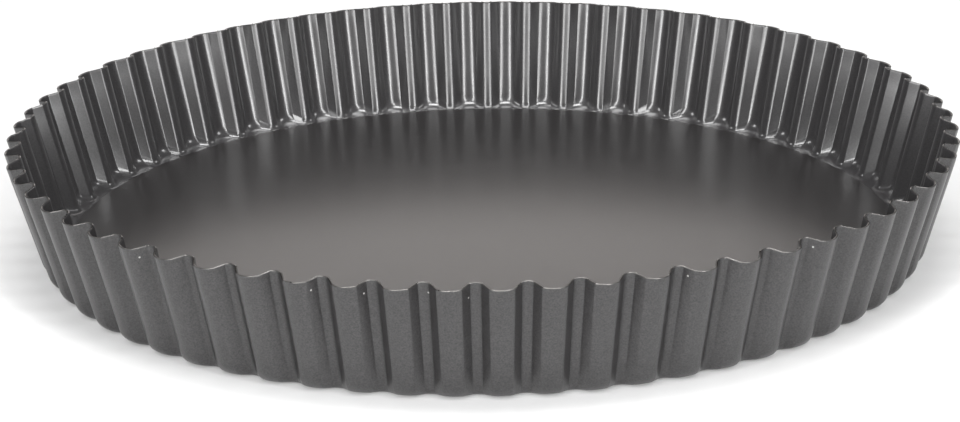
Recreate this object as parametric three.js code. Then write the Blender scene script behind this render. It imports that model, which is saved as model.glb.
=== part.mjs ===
// Fluted pie and tart pan with a loose base, in coated sheet steel.
// Millimetres, +Z up. The origin is the centre of the pan on the surface that it stands on.
// The pan is two pressings: a fluted ring whose foot turns in as a flat ledge, and a flat
// disc that drops in from above and lies on that ledge.

import * as THREE from 'three';

// Driving dimensions of the ring
const RIM_DIAMETER = 280;
const PAN_HEIGHT = 35.2;
const RIM_DIP = 1.0;
const RING_SHEET = 0.6;
const WALL_DRAFT_DEG = 16.1;
const FLUTE_COUNT = 64;
const RIM_FLUTE_DEPTH = 4.2;
const FOOT_FLUTE_DEPTH = 3.2;
const RIM_FLANK_DEG = 56;
const FOOT_FLANK_DEG = 48;
const CREST_RADIUS = 3.0;
const BULGE_FILLET = 5.2;
const CREST_FILLET = 2.4;
const LEDGE_OVERLAP = 6.0;

// Driving dimensions of the loose base
const BASE_SHEET = 0.7;
const BASE_EDGE_BREAK = 0.15;
const BASE_EDGE_CLEARANCE = 0.7;

// Facets: stops along half a flute, as shares of its bulge arc, flank and crest arc
const FLUTE_STOPS = [0, 0.2, 0.4, 0.6, 0.8, 1];
const BULGE_END = 0.4;
const CREST_START = 0.6;
const FILLET_STEPS = 2;
const BASE_SEGMENTS = 128;

// Finishes
const COATING_RING = { color: 0x5f5d5c, roughness: 0.42, metalness: 0.35 };
const COATING_BASE = { color: 0x605e5c, roughness: 0.38, metalness: 0.35 };

const PITCH_ANGLE = (2 * Math.PI) / FLUTE_COUNT;
const WALL_DRAFT = THREE.MathUtils.degToRad(WALL_DRAFT_DEG);
const LEDGE_TOP = RING_SHEET;

// The rim dips at the bulges: it is highest at the crests between them
const BULGE_RIM_HEIGHT = PAN_HEIGHT - RIM_DIP;

// The inside face of the wall, at the outermost point of a flute
const RIM_INSIDE_RADIUS = RIM_DIAMETER / 2 - RING_SHEET / Math.cos(WALL_DRAFT);
const WALL_RUN = (BULGE_RIM_HEIGHT - LEDGE_TOP) * Math.tan(WALL_DRAFT);
const FOOT_INSIDE_RADIUS = RIM_INSIDE_RADIUS - WALL_RUN;

// One level of the fluted wall: each half flute is a bulge arc, a straight flank and a crest
// arc. The bulge radius follows from the pitch, the depth, the flank angle and the crest.
// z is the level's height at the bulges, and rise is how much higher the crests are.
function fluteLevel(outerRadius, depth, flankDeg, z, rise) {
  const flank = THREE.MathUtils.degToRad(flankDeg);
  const middleRadius = outerRadius - depth / 2;
  const halfPitch = (middleRadius * PITCH_ANGLE) / 2;
  const radii = (halfPitch * Math.sin(flank) - depth * Math.cos(flank)) / (1 - Math.cos(flank));
  const crest = CREST_RADIUS;
  const bulge = radii - crest;
  return { outerRadius, middleRadius, depth, halfPitch, flank, crest, bulge, z, rise };
}

const RIM = fluteLevel(
  RIM_INSIDE_RADIUS, RIM_FLUTE_DEPTH, RIM_FLANK_DEG, BULGE_RIM_HEIGHT, RIM_DIP,
);
const FOOT = fluteLevel(FOOT_INSIDE_RADIUS, FOOT_FLUTE_DEPTH, FOOT_FLANK_DEG, LEDGE_TOP, 0);

// Where a level's line runs within half a flute: along the wall from the bulge's middle, and
// inward from its outermost point. share is 0 at the bulge and 1 at the crest.
function fluteOffset(level, share) {
  const { bulge, crest, flank, halfPitch, depth } = level;
  const bulgeEnd = [bulge * Math.sin(flank), bulge * (1 - Math.cos(flank))];
  const crestStart = [halfPitch - crest * Math.sin(flank), depth - crest * (1 - Math.cos(flank))];
  let along;
  let inward;
  if (share <= BULGE_END) {
    const turn = (flank * share) / BULGE_END;
    along = bulge * Math.sin(turn);
    inward = bulge * (1 - Math.cos(turn));
  } else if (share <= CREST_START) {
    const run = (share - BULGE_END) / (CREST_START - BULGE_END);
    along = THREE.MathUtils.lerp(bulgeEnd[0], crestStart[0], run);
    inward = THREE.MathUtils.lerp(bulgeEnd[1], crestStart[1], run);
  } else {
    const turn = (flank * (1 - share)) / (1 - CREST_START);
    along = halfPitch - crest * Math.sin(turn);
    inward = depth - crest * (1 - Math.cos(turn));
  }
  return { along, inward };
}

// A place round the wall. phase counts half flutes: even numbers are bulges, odd ones crests.
function flutePlace(phase) {
  const flute = Math.round(phase / 2);
  const within = phase - 2 * flute;
  return { flute, side: Math.sign(within), share: Math.abs(within) };
}

// A point of a level
function fluteSpot(level, phase) {
  const { flute, side, share } = flutePlace(phase);
  const { along, inward } = fluteOffset(level, share);
  const angle = flute * PITCH_ANGLE + (side * along) / level.middleRadius;
  const radius = level.outerRadius - inward;
  const height = level.z + (level.rise * inward) / level.depth;
  return new THREE.Vector3(radius * Math.cos(angle), radius * Math.sin(angle), height);
}

// The foot is rounded more at the bulges than at the crests
function footFillet(phase) {
  const { inward } = fluteOffset(FOOT, flutePlace(phase).share);
  return THREE.MathUtils.lerp(BULGE_FILLET, CREST_FILLET, inward / FOOT.depth);
}

// The corner where the straight wall would meet the ledge, and the rounding that replaces it
function footCorner(phase) {
  const corner = fluteSpot(FOOT, phase);
  const wall = fluteSpot(RIM, phase).sub(corner);
  const wallLength = wall.length();
  const up = wall.normalize();
  const inward = new THREE.Vector3(-corner.x, -corner.y, 0).normalize();
  const opening = up.angleTo(inward);
  const fillet = footFillet(phase);
  const setback = fillet / Math.tan(opening / 2);
  const bisector = up.clone().add(inward).normalize();
  const centre = corner.clone().addScaledVector(bisector, fillet / Math.sin(opening / 2));
  return { corner, up, inward, wallLength, fillet, setback, centre, sweep: Math.PI - opening };
}

const CREST_FOOT = footCorner(1);
const LEDGE_START_RADIUS = Math.hypot(CREST_FOOT.corner.x, CREST_FOOT.corner.y) - CREST_FOOT.setback;
const BASE_RADIUS = LEDGE_START_RADIUS - BASE_EDGE_CLEARANCE;
const HOLE_RADIUS = BASE_RADIUS - LEDGE_OVERLAP;

// The ring's inside face. row runs 0 to 1 down the wall, 1 to 2 round the foot and 2 to 3
// across the ledge to the hole.
function insideFace(phase, row) {
  const { corner, up, inward, wallLength, fillet, setback, centre, sweep } = footCorner(phase);
  if (row <= 1) {
    return corner.addScaledVector(up, THREE.MathUtils.lerp(wallLength, setback, row));
  }
  if (row <= 2) {
    const wallEnd = corner.clone().addScaledVector(up, setback);
    const spoke = wallEnd.sub(centre);
    const turned = spoke.clone().multiplyScalar(Math.cos((row - 1) * sweep));
    const downWall = up.clone().negate();
    turned.addScaledVector(downWall, fillet * Math.sin((row - 1) * sweep));
    return turned.add(centre);
  }
  const ledgeStart = corner.addScaledVector(inward, setback);
  const startRadius = Math.hypot(ledgeStart.x, ledgeStart.y);
  const radius = THREE.MathUtils.lerp(startRadius, HOLE_RADIUS, row - 2);
  return inward.multiplyScalar(-radius).setZ(LEDGE_TOP);
}

// The outside face lies one sheet behind the inside face. The rim's cut is level across the
// sheet.
const NORMAL_STEP = 1e-3;
function outsideFace(phase, row) {
  const point = insideFace(phase, row);
  if (row >= 2) {
    return point.setZ(0);
  }
  const insideHeight = point.z;
  const alongFlute = insideFace(phase + NORMAL_STEP, row).sub(insideFace(phase - NORMAL_STEP, row));
  const downWall = insideFace(phase, row + NORMAL_STEP).sub(point);
  const outward = downWall.clone().cross(alongFlute).normalize();
  point.addScaledVector(outward, RING_SHEET);
  if (row === 0) {
    const slope = downWall.normalize();
    point.addScaledVector(slope, (insideHeight - point.z) / slope.z);
  }
  return point;
}

// Stops round the whole ring, in half flutes
function fluteStops() {
  const rising = FLUTE_STOPS.slice(0, -1);
  const falling = FLUTE_STOPS.slice(1).reverse().map((stop) => 2 - stop);
  const stops = [];
  for (let flute = 0; flute < FLUTE_COUNT; flute += 1) {
    for (const stop of [...rising, ...falling]) {
      stops.push(2 * flute + stop);
    }
  }
  return stops;
}

// The rows of the closed skin: down the inside, round the hole's edge and up the outside
function skinRows() {
  const fillet = Array.from({ length: FILLET_STEPS + 1 }, (_, step) => 1 + step / FILLET_STEPS);
  const rows = [0, ...fillet, 3];
  const inside = rows.map((row) => ({ face: insideFace, row }));
  const outside = rows.map((row) => ({ face: outsideFace, row })).reverse();
  return [...inside, ...outside];
}

function flutedRingGeometry() {
  const stops = fluteStops();
  const rows = skinRows();
  const positions = [];
  const triangles = [];
  for (const { face, row } of rows) {
    for (const stop of stops) {
      positions.push(...face(stop, row).toArray());
    }
  }
  const count = stops.length;
  for (let row = 0; row < rows.length; row += 1) {
    const nextRow = (row + 1) % rows.length;
    for (let stop = 0; stop < count; stop += 1) {
      const nextStop = (stop + 1) % count;
      const a = row * count + stop;
      const b = row * count + nextStop;
      const c = nextRow * count + nextStop;
      const d = nextRow * count + stop;
      triangles.push(a, b, c, a, c, d);
    }
  }
  const geometry = new THREE.BufferGeometry();
  geometry.setAttribute('position', new THREE.Float32BufferAttribute(positions, 3));
  geometry.setIndex(triangles);
  geometry.computeVertexNormals();
  return geometry;
}

// A flat disc with its cut edge broken on both faces, turned about the pan's axis
function looseBaseGeometry() {
  const bottom = LEDGE_TOP;
  const top = LEDGE_TOP + BASE_SHEET;
  const profile = [
    new THREE.Vector2(0, bottom),
    new THREE.Vector2(BASE_RADIUS - BASE_EDGE_BREAK, bottom),
    new THREE.Vector2(BASE_RADIUS, bottom + BASE_EDGE_BREAK),
    new THREE.Vector2(BASE_RADIUS, top - BASE_EDGE_BREAK),
    new THREE.Vector2(BASE_RADIUS - BASE_EDGE_BREAK, top),
    new THREE.Vector2(0, top),
  ];
  const disc = new THREE.LatheGeometry(profile, BASE_SEGMENTS);
  disc.rotateX(Math.PI / 2);
  return disc;
}

function coatedSteel({ color, roughness, metalness }) {
  return new THREE.MeshStandardMaterial({ color, roughness, metalness });
}

function piece(name, geometry, finish) {
  const mesh = new THREE.Mesh(geometry, coatedSteel(finish));
  mesh.name = name;
  return mesh;
}

const pan = new THREE.Group();
pan.add(piece('fluted_ring', flutedRingGeometry(), COATING_RING));
pan.add(piece('loose_base', looseBaseGeometry(), COATING_BASE));

export default pan;
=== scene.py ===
"""Fluted pie pan with a loose base: the fine shapes, the finishes and the studio.

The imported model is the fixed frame. Each operator below makes one piece or the studio,
and the panel in the 3D view's sidebar lists them with the sizes and colours to change.
"""

import math
from typing import NamedTuple

import bmesh
import bpy
from bpy.props import FloatProperty, FloatVectorProperty, IntProperty, PointerProperty
from mathutils import Matrix, Vector


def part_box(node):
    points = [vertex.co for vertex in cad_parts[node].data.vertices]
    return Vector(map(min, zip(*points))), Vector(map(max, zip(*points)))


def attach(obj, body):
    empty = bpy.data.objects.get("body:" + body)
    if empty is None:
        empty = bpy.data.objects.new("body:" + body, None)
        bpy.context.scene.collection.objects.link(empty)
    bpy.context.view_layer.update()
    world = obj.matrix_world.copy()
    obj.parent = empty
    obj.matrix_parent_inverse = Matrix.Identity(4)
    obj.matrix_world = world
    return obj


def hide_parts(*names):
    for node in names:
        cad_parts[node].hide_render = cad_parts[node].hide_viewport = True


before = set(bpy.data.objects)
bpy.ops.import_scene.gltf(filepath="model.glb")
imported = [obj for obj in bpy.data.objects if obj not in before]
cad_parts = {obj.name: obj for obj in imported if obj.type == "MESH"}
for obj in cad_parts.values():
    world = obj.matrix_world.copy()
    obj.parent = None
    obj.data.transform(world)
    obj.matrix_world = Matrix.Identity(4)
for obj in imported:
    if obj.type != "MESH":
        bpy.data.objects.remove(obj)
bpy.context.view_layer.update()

bl_info = {
    "name": "Fluted Pie Pan",
    "version": (1, 0, 0),
    "blender": (4, 5, 0),
    "location": "View3D > Sidebar > Pie Pan",
    "description": "Makes a fluted pie pan with a loose base and the studio it is shown in",
    "category": "Object",
}

# One millimetre in metres. The pieces are modelled in millimetres and scaled at the end.
MM = 0.001

_, RING_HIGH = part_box("fluted_ring")
BASE_LOW, BASE_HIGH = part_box("loose_base")

# Facets along one flute, down the wall, round the foot, over the ledge, round an edge and
# round the base
BULGE_STEPS = 12
SHOULDER_STEPS = 3
FLANK_STEPS = 1
CREST_STEPS = 4
WALL_ROWS = 3
RIM_ROWS = 3
FILLET_ROWS = 8
LEDGE_ROWS = 1
EDGE_ROWS = 3
BASE_SIDES = 256

# What the rounding of the rim's edges adds above the cut, in millimetres
RIM_MARGIN = 0.1

# How far down from the rim the wall is curved, in millimetres
RIM_SET_DEPTH = 5.0

# A row of edges this far down from the rim keeps the rounded rim from shading the wall below
RIM_GUARD = 0.45

# The upward part of a face's normal above which it faces up
FACES_UP = 0.7

# Points closer than this are one point, in millimetres
SAME_PLACE = 1e-3

# The bevel's profile for a circular rounding
ROUND_PROFILE = 0.5

# Edges that turn by more than this are shaded sharp, in degrees
SHARP_ANGLE = 50

# Material slots of the ring's mesh
INSIDE, OUTSIDE, CUT_EDGE = 0, 1, 2

# The studio in metres: the lamps' distance, half the table, and the backdrop behind the pan
LAMP_DISTANCE = 3.0
TABLE_HALF = 6.0
BACKDROP_DISTANCE = 2.0
BACKDROP_SIDE = 0.05
BACKDROP_HALF_WIDTH = 0.58
BACKDROP_HALF_HEIGHT = 0.9
BACKDROP_MIDDLE = 1.1

# The table lies this little below the foot, so that the two faces don't coincide
TABLE_GAP = 0.02 * MM

# The camera's sensor in millimetres, and the near and far limits of its view in metres
SENSOR_WIDTH = 36.0
VIEW_NEAR = 0.01
VIEW_FAR = 50.0


class Coating(NamedTuple):
    """How a coated face looks besides its colours. The grain and its height are in millimetres."""

    roughness: float
    sheen: float
    film: float
    flake_share: float
    grain: float
    grain_height: float


# The grain is drawn a little coarser than the real flake, which is too fine to show
INSIDE_COATING = Coating(
    roughness=0.34, sheen=0.45, film=1.0, flake_share=0.1, grain=0.5, grain_height=0.004)
OUTSIDE_COATING = Coating(
    roughness=0.34, sheen=0.88, film=0.0, flake_share=0.19, grain=0.5, grain_height=0.004)
BASE_COATING = Coating(
    roughness=0.31, sheen=0.51, film=0.0, flake_share=0.025, grain=0.5, grain_height=0.001)

# What the coatings share: the refraction, the clear film's roughness and the mottle's noise
COATING_IOR = 1.5
FILM_ROUGHNESS = 0.14
MOTTLE_DETAIL = 3.0
MOTTLE_ROUGHNESS = 0.65

# Where in the noise the flake begins and where it is densest
FLAKE_START = 0.3
FLAKE_FULL = 0.75

# Where in the noise the roughness changes, and by how much it does on a coating
GLOSS_START = 0.3
GLOSS_END = 0.7
GLOSS_CHANGE = 0.02

# The cut rim: the size of the drag marks in millimetres, their noise and their roughness
DRAG_GRAIN = 1.5
DRAG_DETAIL = 2.0
CUT_SMOOTH = 0.25
CUT_ROUGH = 0.45

# The roughness of the studio's matt paper
PAPER_ROUGHNESS = 0.9

# Small light specks in the outside coating, close under the rim: their places and their
# radius, in millimetres
SPECKS = (
    (-94.6, -99.9, 31.7),
    (-48.8, -128.2, 31.5),
    (-35.2, -131.7, 31.5),
    (-18.7, -134.0, 32.1),
    (-8.5, -135.5, 30.9),
    (48.4, -128.1, 32.4),
    (83.5, -108.5, 32.3),
)
SPECK_RADIUS = 0.34

# The share of a speck's radius within which it has its full colour
SPECK_CORE = 0.5


class Softbox(NamedTuple):
    """A rectangular softbox that faces the pan. All angles are in degrees.

    Azimuth 0 is in front, and right is positive. Width and height are the angles that it
    fills as seen from the pan. The level is the name of the setting with its brightness.
    """

    name: str
    azimuth: float
    elevation: float
    width: float
    height: float
    level: str


SOFTBOXES = (
    Softbox("strip_left", -33.0, 40.0, 8.0, 52.0, "strip_level"),
    Softbox("strip_right", 33.0, 40.0, 8.0, 52.0, "strip_level"),
    Softbox("low_left", -30.5, 8.6, 21.0, 16.8, "low_side_level"),
    Softbox("low_middle", 0.0, 6.75, 40.0, 13.0, "low_level"),
    Softbox("low_right", 30.5, 8.6, 21.0, 16.8, "low_side_level"),
    Softbox("side_left", -100.0, 38.0, 12.0, 12.0, "side_level"),
    Softbox("side_right", 100.0, 38.0, 12.0, 12.0, "side_level"),
    Softbox("overhead", 0.0, 87.0, 26.0, 13.0, "overhead_level"),
)


def linear_colour(text):
    """An sRGB hex colour as linear red, green and blue."""
    channels = [int(text[place:place + 2], 16) / 255 for place in (1, 3, 5)]
    return tuple(c / 12.92 if c <= 0.04045 else ((c + 0.055) / 1.055) ** 2.4 for c in channels)


def colour_property(name, description, text):
    return FloatVectorProperty(
        name=name,
        description=description,
        subtype="COLOR",
        size=3,
        min=0.0,
        max=1.0,
        default=linear_colour(text),
    )


def length_property(name, description, millimetres):
    return FloatProperty(
        name=name,
        description=description,
        unit="LENGTH",
        precision=5,
        default=millimetres * MM,
    )


def angle_property(name, description, degrees):
    return FloatProperty(
        name=name,
        description=description,
        subtype="ANGLE",
        default=math.radians(degrees),
    )


def level_property(name, description, level):
    """A brightness, where 1 is white to the camera."""
    return FloatProperty(name=name, description=description, min=0.0, default=level)


class PiePanSizes(bpy.types.PropertyGroup):
    """Sizes of the ring and the loose base."""

    rim_radius: length_property(
        "Rim radius", "Half the width over the rim", RING_HIGH.x / MM)
    height: length_property(
        "Height", "From the table to the rim's crests", RING_HIGH.z / MM)
    rim_dip: length_property(
        "Rim dip", "How much lower the rim is at the bulges than at the crests", 1.0)
    ring_sheet: length_property(
        "Ring sheet", "Thickness of the ring's sheet", 0.6)
    wall_draft: angle_property(
        "Wall draft", "How far the wall leans out at the bulges", 16.1)
    flute_count: IntProperty(
        name="Flutes", description="Number of flutes round the wall", default=64)
    rim_flute_depth: length_property(
        "Rim flute depth", "Depth of the flutes at the rim", 4.2)
    foot_flute_depth: length_property(
        "Foot flute depth", "Depth of the flutes at the foot", 3.2)
    rim_flank: angle_property(
        "Rim flank", "Slope of a flute's flank at the rim, from the bulge's tangent", 57.0)
    foot_flank: angle_property(
        "Foot flank", "Slope of a flute's flank at the foot, from the bulge's tangent", 47.0)
    rim_arc: angle_property(
        "Rim arc", "Half the turn of the wide arcs of bulge and crest at the rim", 32.0)
    foot_arc: angle_property(
        "Foot arc", "Half the turn of the wide arcs of bulge and crest at the foot", 25.0)
    crest_radius: length_property(
        "Crest radius", "Inside radius of the crest between two flutes", 3.34)
    bulge_shoulder: length_property(
        "Bulge shoulder", "Inside radius of the corner between bulge and flank", 0.5)
    crest_shoulder: length_property(
        "Crest shoulder", "Inside radius of the corner between flank and crest", 1.1)
    bulge_fillet: length_property(
        "Bulge rounding", "Inside radius between the wall and the ledge at a bulge", 5.2)
    crest_fillet: length_property(
        "Crest rounding", "Inside radius between the wall and the ledge at a crest", 2.4)
    ledge_overlap: length_property(
        "Ledge overlap", "How far the base lies on the ledge round the hole", 6.0)
    rim_set: length_property(
        "Rim set", "How far the rim is set in from the line of the wall below it", 0.1)
    rim_edge_break: length_property(
        "Rim edge break", "Rounding of the cut rim's two edges", 0.26)
    base_radius: length_property(
        "Base radius", "Radius of the loose base", BASE_HIGH.x / MM)
    base_edge_break: length_property(
        "Base edge break", "Rounding of the loose base's edges", 0.2)


class PiePanFinish(bpy.types.PropertyGroup):
    """Colours of the coatings, of their flake and specks, and of the cut rim."""

    inside_colour: colour_property(
        "Inside coating", "Colour of the coating inside the ring", "#242324")
    outside_colour: colour_property(
        "Outside coating", "Colour of the coating outside the ring", "#0d0b0c")
    base_colour: colour_property(
        "Base coating", "Colour of the coating on the loose base", "#1f1d1d")
    flake_colour: colour_property(
        "Metal flake", "Colour of the fine flake in the coating", "#8b898a")
    speck_colour: colour_property(
        "Specks", "Colour of the light specks under the rim", "#b0aeac")
    steel_colour: colour_property(
        "Cut edge", "Colour of the cut rim, dulled by a thin coating", "#676563")


class PiePanStudio(bpy.types.PropertyGroup):
    """The camera, the lamps, the table and the backdrop."""

    camera_distance: length_property(
        "Camera distance", "From the middle of the rim to the camera", 942.4)
    camera_azimuth: angle_property(
        "Camera azimuth", "Turn of the camera about the pan's axis", -1.851)
    camera_elevation: angle_property(
        "Camera elevation", "Height of the camera above the rim as an angle", 17.406)
    camera_roll: angle_property(
        "Camera roll", "Tilt of the camera about its line of sight", -1.024)
    camera_lens: FloatProperty(
        name="Lens", description="Focal length in millimetres", default=119.64)
    aim_side: length_property(
        "Aim sideways", "How far to the right of the axis the camera looks", -0.95)
    aim_height: length_property(
        "Aim height", "Height on the pan's axis that the camera looks at", 7.6)
    strip_level: level_property(
        "Strips", "Brightness of the two upright strip lamps", 15.0)
    low_level: level_property(
        "Low front", "Brightness of the low softbox in front", 4.4)
    low_side_level: level_property(
        "Low sides", "Brightness of the low softboxes at both sides of it", 8.1)
    side_level: level_property(
        "Sides", "Brightness of the softboxes to the left and right of the pan", 9.0)
    overhead_level: level_property(
        "Overhead", "Brightness of the softbox above the pan", 18.0)
    sky_level: level_property(
        "Surroundings", "Brightness of the dim room", 0.06)
    table_glow: level_property(
        "Table white", "What the table shows to the eye besides its lit colour", 0.37)
    backdrop_glow: level_property(
        "Backdrop white", "What the backdrop shows to the eye besides its lit colour", 0.52)
    table_colour: colour_property(
        "Table", "Colour of the table", "#c8c8c8")
    backdrop_colour: colour_property(
        "Backdrop", "Colour of the backdrop", "#eae5e2")


# Modelling

class FluteLevel(NamedTuple):
    """The inside line of the flutes at one height, in millimetres and radians.

    The height z is that of the bulges, and rise is how much higher the crests stand.
    """

    outer: float
    depth: float
    flank: float
    arc: float
    crest: float
    z: float
    rise: float


def turned_run(radius, heading, turn):
    """How far an arc of a radius goes when it turns from a heading, to the left if positive."""
    start = Vector((math.sin(heading), -math.cos(heading)))
    end = Vector((math.sin(heading + turn), -math.cos(heading + turn)))
    return (end - start) * math.copysign(radius, turn)


def flute_points(level, shoulders, pitch_angle):
    """The points of one flute's inside line, in order from crest to crest about +X.

    Bulge and crest are wide arcs, tight shoulders turn them into the straight flanks, and
    the bulge's radius and the flank's length follow. All arcs are spun.
    """
    outer, depth, flank, arc, crest, z, rise = level
    bulge_shoulder, crest_shoulder = shoulders
    half = pitch_angle / 2
    crest_flank = flank - half
    reach = outer - depth

    # From the bulge's middle to the crest's middle, less what is already known of the way
    way = Vector((reach * math.cos(half) - outer, reach * math.sin(half)))
    heading = math.pi / 2 + arc
    way -= turned_run(bulge_shoulder, heading, flank - arc)
    heading = math.pi / 2 + flank
    along_flank = Vector((math.cos(heading), math.sin(heading)))
    way -= turned_run(crest_shoulder, heading, arc - crest_flank)
    way -= turned_run(crest, heading + arc - crest_flank, -arc)
    along_bulge = turned_run(1.0, math.pi / 2, arc)
    area = along_bulge.x * along_flank.y - along_bulge.y * along_flank.x
    bulge = (way.x * along_flank.y - way.y * along_flank.x) / area
    flank_length = (along_bulge.x * way.y - along_bulge.y * way.x) / area

    bm = bmesh.new()
    tip = bm.verts.new((reach * math.cos(half), -reach * math.sin(half), z))
    heading = math.pi / 2 - half
    runs = [
        (crest, -arc, CREST_STEPS),
        (crest_shoulder, arc - crest_flank, SHOULDER_STEPS),
        (flank_length, 0.0, FLANK_STEPS),
        (bulge_shoulder, flank - arc, SHOULDER_STEPS),
        (bulge, 2 * arc, BULGE_STEPS),
        (bulge_shoulder, flank - arc, SHOULDER_STEPS),
        (flank_length, 0.0, FLANK_STEPS),
        (crest_shoulder, arc - crest_flank, SHOULDER_STEPS),
        (crest, -arc, CREST_STEPS),
    ]
    for size, turn, steps in runs:
        if turn:
            to_centre = heading + math.copysign(math.pi / 2, turn)
            centre = tip.co + Vector((math.cos(to_centre), math.sin(to_centre), 0.0)) * size
            tip = spin_vertex(bm, tip, centre, Vector((0.0, 0.0, 1.0)), turn, steps)
        else:
            ahead = Vector((math.cos(heading), math.sin(heading), 0.0))
            tip = draw_line(bm, tip, tip.co + ahead * size, steps)
        heading += turn
    points = [vertex.co.copy() for vertex in bm.verts]
    bm.free()
    for point in points:
        point.z += rise * (outer - point.xy.length) / depth
    return points


def spin_vertex(bm, vertex, centre, axis, angle, steps):
    """Spins one vertex into an arc and returns the arc's last vertex."""
    made = bmesh.ops.spin(
        bm, geom=[vertex], cent=centre, axis=axis, angle=angle, steps=steps)
    return made["geom_last"][0]


def draw_line(bm, vertex, end, steps):
    """Extrudes one vertex into a straight run of edges and returns the last vertex."""
    start = vertex.co.copy()
    for step in range(1, steps + 1):
        vertex = bmesh.ops.extrude_vert_indiv(bm, verts=[vertex])["verts"][0]
        vertex.co = start.lerp(end, step / steps)
    return vertex


def wall_line(bm, rim, corner, rim_set, fillet, hole_radius):
    """One line of the ring's inside face: down the wall, round the foot and along the ledge.

    Close to the rim the wall stands a little more upright.
    """
    up = (rim - corner).normalized()
    inward = Vector((-corner.x, -corner.y, 0.0)).normalized()
    opening = up.angle(inward)
    bisector = (up + inward).normalized()
    wall_end = corner + up * (fillet / math.tan(opening / 2))
    centre = corner + bisector * (fillet / math.sin(opening / 2))
    hole_point = inward * -hole_radius
    hole_point.z = corner.z
    first_edge = len(bm.edges)
    first_vertex = len(bm.verts)
    tip = bm.verts.new(rim)
    tip = draw_line(bm, tip, rim - up * RIM_GUARD, 1)
    tip = draw_line(bm, tip, rim - up * RIM_SET_DEPTH, RIM_ROWS)
    tip = draw_line(bm, tip, wall_end, WALL_ROWS)
    bm.verts.ensure_lookup_table()
    for vertex in bm.verts[first_vertex:]:
        share = max(0.0, 1 - (rim - vertex.co).length / RIM_SET_DEPTH)
        vertex.co += inward * (rim_set * share ** 2)
    tip = spin_vertex(
        bm, tip, centre, inward.cross(up).normalized(), math.pi - opening, FILLET_ROWS)
    draw_line(bm, tip, hole_point, LEDGE_ROWS)
    bm.edges.ensure_lookup_table()
    return bm.edges[first_edge:]


def level_rim(cut_faces):
    """Raises the rim's outer edge along the wall until the cut is level across the sheet."""
    cut_verts = {vertex for face in cut_faces for vertex in face.verts}
    cut_edges = {edge for face in cut_faces for edge in face.edges}
    for edge in cut_edges:
        if any(face not in cut_faces for face in edge.link_faces):
            continue
        inner, outer = sorted(edge.verts, key=lambda vertex: vertex.co.xy.length)
        below = [link.other_vert(outer) for link in outer.link_edges]
        slope = next(outer.co - vertex.co for vertex in below if vertex not in cut_verts)
        outer.co += slope * ((inner.co.z - outer.co.z) / slope.z)


def fluted_ring_mesh(sizes):
    """The ring: one flute is lofted from its wall lines, repeated round the axis and thickened."""
    height = sizes.height / MM - RIM_MARGIN
    sheet = sizes.ring_sheet / MM
    dip = sizes.rim_dip / MM
    bulge_height = height - dip
    rim_outer = sizes.rim_radius / MM - sheet / math.cos(sizes.wall_draft)
    foot_outer = rim_outer - (bulge_height - sheet) * math.tan(sizes.wall_draft)
    pitch_angle = 2 * math.pi / sizes.flute_count
    hole_radius = (sizes.base_radius - sizes.ledge_overlap) / MM
    crest = sizes.crest_radius / MM
    rim_depth = sizes.rim_flute_depth / MM
    foot_depth = sizes.foot_flute_depth / MM
    shoulders = (sizes.bulge_shoulder / MM, sizes.crest_shoulder / MM)
    rim_level = FluteLevel(
        rim_outer, rim_depth, sizes.rim_flank, sizes.rim_arc, crest, z=bulge_height, rise=dip)
    foot_level = FluteLevel(
        foot_outer, foot_depth, sizes.foot_flank, sizes.foot_arc, crest, z=sheet, rise=0.0)
    rim_points = flute_points(rim_level, shoulders, pitch_angle)
    foot_points = flute_points(foot_level, shoulders, pitch_angle)

    # One flute of the inside face
    bm = bmesh.new()
    lines = []
    for rim, corner in zip(rim_points, foot_points):
        inward_share = (foot_outer - corner.xy.length) / foot_depth
        fillet = sizes.bulge_fillet + (sizes.crest_fillet - sizes.bulge_fillet) * inward_share
        lines.append(wall_line(bm, rim, corner, sizes.rim_set / MM, fillet / MM, hole_radius))
    for left, right in zip(lines, lines[1:]):
        bmesh.ops.bridge_loops(bm, edges=left + right)

    # Repeat the flute and close the seams
    bmesh.ops.spin(
        bm,
        geom=bm.verts[:] + bm.edges[:] + bm.faces[:],
        cent=(0.0, 0.0, 0.0),
        axis=(0.0, 0.0, 1.0),
        angle=2 * math.pi - pitch_angle,
        steps=sizes.flute_count - 1,
        use_duplicate=True,
    )
    bmesh.ops.remove_doubles(bm, verts=bm.verts, dist=SAME_PLACE)
    bmesh.ops.recalc_face_normals(bm, faces=bm.faces)
    ledge_face = min(bm.faces, key=lambda face: face.calc_center_median().z)
    if ledge_face.normal.z < 0:
        bmesh.ops.reverse_faces(bm, faces=bm.faces)

    # Give the sheet its thickness on the outside, and level its cut rim
    bmesh.ops.solidify(bm, geom=bm.faces[:], thickness=sheet)
    bm.normal_update()
    half_way_up = height / 2
    cut_faces = {
        face for face in bm.faces
        if face.normal.z > FACES_UP and face.calc_center_median().z > half_way_up
    }
    level_rim(cut_faces)

    # Faces that point to the axis or upwards are the inside
    for face in bm.faces:
        inward = -face.calc_center_median()
        inward.z = 0.0
        inward.normalize()
        inward.z = 1.0
        face.material_index = INSIDE if face.normal.dot(inward) > 0 else OUTSIDE
    for face in cut_faces:
        face.material_index = CUT_EDGE
    rim_edges = [
        edge for edge in bm.edges
        if sum(face in cut_faces for face in edge.link_faces) == 1
    ]
    round_edges(bm, rim_edges, sizes.rim_edge_break / MM)
    return finish_mesh(bm, "fluted_ring_fine")


def horizontal_loop(bm, z):
    """The edges that lie at one height."""
    return [edge for edge in bm.edges if all(abs(v.co.z - z) < SAME_PLACE for v in edge.verts)]


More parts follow.
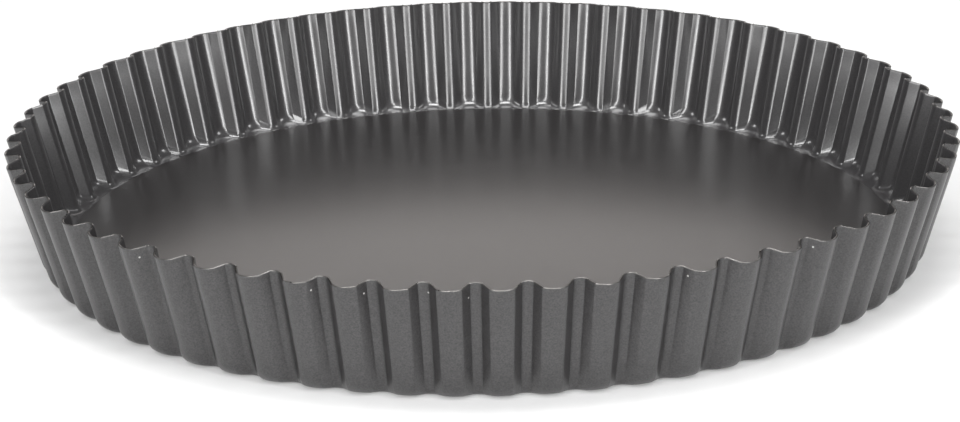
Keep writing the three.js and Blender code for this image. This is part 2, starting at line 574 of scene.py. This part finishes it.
def loose_base_mesh(sizes):
    """The loose base: a disc with its edges rounded."""
    bottom = BASE_LOW.z / MM
    top = BASE_HIGH.z / MM
    bm = bmesh.new()
    bmesh.ops.create_circle(
        bm, cap_ends=True, segments=BASE_SIDES, radius=sizes.base_radius / MM)
    bmesh.ops.translate(bm, vec=(0.0, 0.0, bottom), verts=bm.verts)
    raised = bmesh.ops.extrude_face_region(bm, geom=bm.faces[:])
    raised_verts = [part for part in raised["geom"] if isinstance(part, bmesh.types.BMVert)]
    bmesh.ops.translate(bm, vec=(0.0, 0.0, top - bottom), verts=raised_verts)
    bmesh.ops.recalc_face_normals(bm, faces=bm.faces)
    disc_edges = horizontal_loop(bm, top) + horizontal_loop(bm, bottom)
    round_edges(bm, disc_edges, sizes.base_edge_break / MM)
    return finish_mesh(bm, "loose_base_fine")


def round_edges(bm, edges, radius):
    """Rounds edges with a few narrow faces, which take the material of their neighbours."""
    bmesh.ops.bevel(
        bm,
        geom=edges,
        offset=radius,
        offset_type="OFFSET",
        segments=EDGE_ROWS,
        profile=ROUND_PROFILE,
        affect="EDGES",
        clamp_overlap=True,
        material=-1,
    )


def finish_mesh(bm, name):
    """Scales a mesh that was modelled in millimetres, and shades it smooth up to its sharp edges."""
    bmesh.ops.scale(bm, vec=(MM, MM, MM), verts=bm.verts)
    mesh = bpy.data.meshes.new(name)
    bm.to_mesh(mesh)
    bm.free()
    mesh.shade_smooth()
    mesh.set_sharp_from_angle(angle=math.radians(SHARP_ANGLE))
    return mesh


def add_piece(name, mesh, materials, body, node):
    """Links a piece, gives it its materials and ties it to the frame."""
    piece = bpy.data.objects.new(name, mesh)
    bpy.context.scene.collection.objects.link(piece)
    for material in materials:
        mesh.materials.append(material)
    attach(piece, body)
    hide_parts(node)


# Materials

def add_node(tree, kind, settings=None, inputs=None, links=None):
    """Adds a node, sets its properties and sockets, and links its inputs."""
    node = tree.nodes.new(kind)
    for name, value in (settings or {}).items():
        setattr(node, name, value)
    for name, value in (inputs or {}).items():
        node.inputs[name].default_value = value
    for name, source in (links or {}).items():
        tree.links.new(source, node.inputs[name])
    return node


def rgba(colour):
    return (colour[0], colour[1], colour[2], 1.0)


def new_material(name):
    material = bpy.data.materials.new(name)
    material.use_nodes = True
    material.node_tree.nodes.clear()
    return material, material.node_tree


def speck_mask(tree, place, specks):
    """One inside the specks and zero away from them, with a soft edge between."""
    nearest = None
    for speck in specks:
        away = add_node(
            tree, "ShaderNodeVectorMath",
            settings={"operation": "DISTANCE"},
            inputs={1: Vector(speck) * MM},
            links={0: place},
        )
        if nearest:
            away = add_node(
                tree, "ShaderNodeMath",
                settings={"operation": "MINIMUM"},
                links={0: nearest.outputs["Value"], 1: away.outputs["Value"]},
            )
        nearest = away
    radius = SPECK_RADIUS * MM
    mask = add_node(
        tree, "ShaderNodeMapRange",
        inputs={"From Min": SPECK_CORE * radius, "From Max": radius, "To Min": 1.0, "To Max": 0.0},
        links={"Value": nearest.outputs["Value"]},
    )
    return mask.outputs["Result"]


def coated_steel(name, colour, flake, coating, specks=(), speck_colour=None):
    """Non-stick coated steel: a sprayed grey fluoropolymer film with fine metal flake.

    The coating gives the eye a dark grey with a soft haze, the flake a light mottle, the
    spray a faint orange peel, and where there is a clear film on top it glints sharply.
    """
    material, tree = new_material(name)
    place = add_node(tree, "ShaderNodeTexCoord")
    mottle = add_node(
        tree, "ShaderNodeTexNoise",
        inputs={
            "Scale": 1 / (coating.grain * MM),
            "Detail": MOTTLE_DETAIL,
            "Roughness": MOTTLE_ROUGHNESS,
        },
        links={"Vector": place.outputs["Object"]},
    )
    share = add_node(
        tree, "ShaderNodeMapRange",
        inputs={
            "From Min": FLAKE_START,
            "From Max": FLAKE_FULL,
            "To Min": 0.0,
            "To Max": coating.flake_share,
        },
        links={"Value": mottle.outputs["Fac"]},
    )
    tint = add_node(
        tree, "ShaderNodeMix",
        settings={"data_type": "RGBA"},
        inputs={"A": rgba(colour), "B": rgba(flake)},
        links={"Factor": share.outputs["Result"]},
    )
    if specks:
        tint = add_node(
            tree, "ShaderNodeMix",
            settings={"data_type": "RGBA"},
            inputs={"B": rgba(speck_colour)},
            links={
                "Factor": speck_mask(tree, place.outputs["Object"], specks),
                "A": tint.outputs["Result"],
            },
        )
    gloss = add_node(
        tree, "ShaderNodeMapRange",
        inputs={
            "From Min": GLOSS_START,
            "From Max": GLOSS_END,
            "To Min": coating.roughness - GLOSS_CHANGE,
            "To Max": coating.roughness + GLOSS_CHANGE,
        },
        links={"Value": mottle.outputs["Fac"]},
    )
    peel = add_node(
        tree, "ShaderNodeBump",
        inputs={"Strength": 1.0, "Distance": coating.grain_height * MM},
        links={"Height": mottle.outputs["Fac"]},
    )
    shader = add_node(
        tree, "ShaderNodeBsdfPrincipled",
        inputs={
            "IOR": COATING_IOR,
            "Specular IOR Level": coating.sheen,
            "Coat Weight": coating.film,
            "Coat Roughness": FILM_ROUGHNESS,
        },
        links={
            "Base Color": tint.outputs["Result"],
            "Roughness": gloss.outputs["Result"],
            "Normal": peel.outputs["Normal"],
        },
    )
    add_node(tree, "ShaderNodeOutputMaterial", links={"Surface": shader.outputs["BSDF"]})
    return material


def cut_steel(name, colour):
    """Sheared sheet steel under a thin coating: dull metal with drag marks from the trimming die."""
    material, tree = new_material(name)
    place = add_node(tree, "ShaderNodeTexCoord")
    drag = add_node(
        tree, "ShaderNodeTexNoise",
        inputs={"Scale": 1 / (DRAG_GRAIN * MM), "Detail": DRAG_DETAIL},
        links={"Vector": place.outputs["Object"]},
    )
    gloss = add_node(
        tree, "ShaderNodeMapRange",
        inputs={
            "From Min": GLOSS_START,
            "From Max": GLOSS_END,
            "To Min": CUT_SMOOTH,
            "To Max": CUT_ROUGH,
        },
        links={"Value": drag.outputs["Fac"]},
    )
    shader = add_node(
        tree, "ShaderNodeBsdfPrincipled",
        inputs={"Base Color": rgba(colour), "Metallic": 1.0},
        links={"Roughness": gloss.outputs["Result"]},
    )
    add_node(tree, "ShaderNodeOutputMaterial", links={"Surface": shader.outputs["BSDF"]})
    return material


def studio_white(name, colour, glow):
    """Matt pale paper: lit like any surface, and lifted to white for the eye and in reflections.

    The lift is the same everywhere, so the pan's shadow stays.
    """
    material, tree = new_material(name)
    path = add_node(tree, "ShaderNodeLightPath")
    seen = add_node(
        tree, "ShaderNodeMath",
        settings={"operation": "MAXIMUM"},
        links={0: path.outputs["Is Camera Ray"], 1: path.outputs["Is Glossy Ray"]},
    )
    seen = add_node(
        tree, "ShaderNodeMath",
        settings={"operation": "MAXIMUM"},
        links={0: seen.outputs["Value"], 1: path.outputs["Is Transmission Ray"]},
    )
    lift = add_node(
        tree, "ShaderNodeMath",
        settings={"operation": "MULTIPLY"},
        inputs={1: glow},
        links={0: seen.outputs["Value"]},
    )
    shader = add_node(
        tree, "ShaderNodeBsdfPrincipled",
        inputs={
            "Base Color": rgba(colour),
            "Roughness": PAPER_ROUGHNESS,
            "Specular IOR Level": 0.0,
            "Emission Color": rgba(colour),
        },
        links={"Emission Strength": lift.outputs["Value"]},
    )
    add_node(tree, "ShaderNodeOutputMaterial", links={"Surface": shader.outputs["BSDF"]})
    return material


# Operators

class PIEPAN_OT_fluted_ring(bpy.types.Operator):
    """Make the fluted ring with its coating and its cut rim"""

    bl_idname = "pie_pan.fluted_ring"
    bl_label = "Fluted ring"

    def execute(self, context):
        sizes = context.scene.pie_pan_sizes
        finish = context.scene.pie_pan_finish
        inside = coated_steel(
            "non_stick_coating_inside", finish.inside_colour, finish.flake_colour, INSIDE_COATING)
        outside = coated_steel(
            "non_stick_coating_outside", finish.outside_colour, finish.flake_colour, OUTSIDE_COATING,
            SPECKS, finish.speck_colour)
        edge = cut_steel("sheared_steel_edge", finish.steel_colour)
        add_piece(
            "fluted_ring_fine", fluted_ring_mesh(sizes), [inside, outside, edge],
            "ring", "fluted_ring")
        return {"FINISHED"}


class PIEPAN_OT_loose_base(bpy.types.Operator):
    """Make the loose base with its coating"""

    bl_idname = "pie_pan.loose_base"
    bl_label = "Loose base"

    def execute(self, context):
        sizes = context.scene.pie_pan_sizes
        finish = context.scene.pie_pan_finish
        coating = coated_steel(
            "non_stick_coating_base", finish.base_colour, finish.flake_colour, BASE_COATING)
        add_piece(
            "loose_base_fine", loose_base_mesh(sizes), [coating], "base", "loose_base")
        return {"FINISHED"}


def add_camera(studio, sizes):
    """The camera of the photograph's view."""
    turn = studio.camera_azimuth
    rise = studio.camera_elevation
    side = Vector((math.cos(turn), math.sin(turn), 0.0))
    back = Vector((math.sin(turn) * math.cos(rise), -math.cos(turn) * math.cos(rise), math.sin(rise)))
    rim_middle = Vector((0.0, 0.0, sizes.height))
    location = rim_middle + back * studio.camera_distance
    aim = side * studio.aim_side + Vector((0.0, 0.0, studio.aim_height))
    forward = (aim - location).normalized()
    right = forward.cross(Vector((0.0, 0.0, 1.0))).normalized()
    up = right.cross(forward)
    roll = studio.camera_roll
    rolled_right = right * math.cos(roll) + up * math.sin(roll)
    rolled_up = up * math.cos(roll) - right * math.sin(roll)
    turned = Matrix((rolled_right, rolled_up, -forward)).transposed().to_4x4()
    data = bpy.data.cameras.new("photo_camera")
    data.lens = studio.camera_lens
    data.sensor_width = SENSOR_WIDTH
    data.sensor_fit = "HORIZONTAL"
    data.clip_start = VIEW_NEAR
    data.clip_end = VIEW_FAR
    camera = bpy.data.objects.new("photo_camera", data)
    camera.matrix_world = Matrix.Translation(location) @ turned
    bpy.context.scene.collection.objects.link(camera)
    bpy.context.scene.camera = camera


def add_softbox(box, level):
    """One softbox. The level is the brightness of its face."""
    turn = math.radians(box.azimuth)
    rise = math.radians(box.elevation)
    towards = Vector((math.cos(rise) * math.sin(turn), -math.cos(rise) * math.cos(turn), math.sin(rise)))
    data = bpy.data.lights.new(box.name, "AREA")
    data.shape = "RECTANGLE"
    data.size = 2 * LAMP_DISTANCE * math.tan(math.radians(box.width / 2))
    data.size_y = 2 * LAMP_DISTANCE * math.tan(math.radians(box.height / 2))
    data.energy = level * math.pi * data.size * data.size_y
    lamp = bpy.data.objects.new(box.name, data)
    lamp.location = towards * LAMP_DISTANCE
    lamp.rotation_mode = "QUATERNION"
    lamp.rotation_quaternion = (-towards).to_track_quat("-Z", "Y")
    lamp.visible_camera = False
    bpy.context.scene.collection.objects.link(lamp)


def add_paper(name, material, half_width, half_height, turned):
    """A flat sheet of the studio's paper."""
    bm = bmesh.new()
    bmesh.ops.create_grid(bm, x_segments=1, y_segments=1, size=1.0)
    bmesh.ops.scale(bm, vec=(half_width, half_height, 1.0), verts=bm.verts)
    bmesh.ops.transform(bm, matrix=turned, verts=bm.verts)
    mesh = bpy.data.meshes.new(name)
    bm.to_mesh(mesh)
    bm.free()
    sheet = bpy.data.objects.new(name, mesh)
    mesh.materials.append(material)
    bpy.context.scene.collection.objects.link(sheet)


def add_room(level):
    """Dim grey surroundings."""
    world = bpy.data.worlds.new("dim_room")
    bpy.context.scene.world = world
    world.use_nodes = True
    tree = world.node_tree
    tree.nodes.clear()
    grey = add_node(
        tree, "ShaderNodeBackground",
        inputs={"Color": (1.0, 1.0, 1.0, 1.0), "Strength": level},
    )
    add_node(tree, "ShaderNodeOutputWorld", links={"Surface": grey.outputs["Background"]})


class PIEPAN_OT_studio(bpy.types.Operator):
    """Make the table, the backdrop, the lamps and the camera"""

    bl_idname = "pie_pan.studio"
    bl_label = "Studio"

    def execute(self, context):
        studio = context.scene.pie_pan_studio
        pale = studio_white("matt_pale_table", studio.table_colour, studio.table_glow)
        add_paper("table", pale, TABLE_HALF, TABLE_HALF, Matrix.Translation((0.0, 0.0, -TABLE_GAP)))
        white = studio_white("matt_white_backdrop", studio.backdrop_colour, studio.backdrop_glow)
        upright = Matrix.Rotation(math.radians(90), 4, "X")
        behind = Matrix.Translation((BACKDROP_SIDE, BACKDROP_DISTANCE, BACKDROP_MIDDLE))
        add_paper("backdrop", white, BACKDROP_HALF_WIDTH, BACKDROP_HALF_HEIGHT, behind @ upright)
        add_room(studio.sky_level)
        for box in SOFTBOXES:
            add_softbox(box, getattr(studio, box.level))
        add_camera(studio, context.scene.pie_pan_sizes)
        context.scene.view_settings.view_transform = "Standard"
        return {"FINISHED"}


class PIEPAN_PT_panel(bpy.types.Panel):
    """Lists the pan's pieces and their settings"""

    bl_label = "Pie Pan"
    bl_idname = "PIEPAN_PT_panel"
    bl_space_type = "VIEW_3D"
    bl_region_type = "UI"
    bl_category = "Pie Pan"

    def draw(self, context):
        layout = self.layout
        for operator in (PIEPAN_OT_fluted_ring, PIEPAN_OT_loose_base, PIEPAN_OT_studio):
            layout.operator(operator.bl_idname)
        for group in SCENE_SETTINGS:
            box = layout.box()
            settings = getattr(context.scene, group)
            for name in settings.__annotations__:
                box.prop(settings, name)


SCENE_SETTINGS = {
    "pie_pan_sizes": PiePanSizes,
    "pie_pan_finish": PiePanFinish,
    "pie_pan_studio": PiePanStudio,
}

CLASSES = (
    PiePanSizes,
    PiePanFinish,
    PiePanStudio,
    PIEPAN_OT_fluted_ring,
    PIEPAN_OT_loose_base,
    PIEPAN_OT_studio,
    PIEPAN_PT_panel,
)


def register():
    for cls in CLASSES:
        bpy.utils.register_class(cls)
    for name, group in SCENE_SETTINGS.items():
        setattr(bpy.types.Scene, name, PointerProperty(type=group))


def unregister():
    for name in SCENE_SETTINGS:
        delattr(bpy.types.Scene, name)
    for cls in reversed(CLASSES):
        bpy.utils.unregister_class(cls)


def main():
    register()
    bpy.ops.pie_pan.fluted_ring()
    bpy.ops.pie_pan.loose_base()
    bpy.ops.pie_pan.studio()


if __name__ == "__main__":
    main()
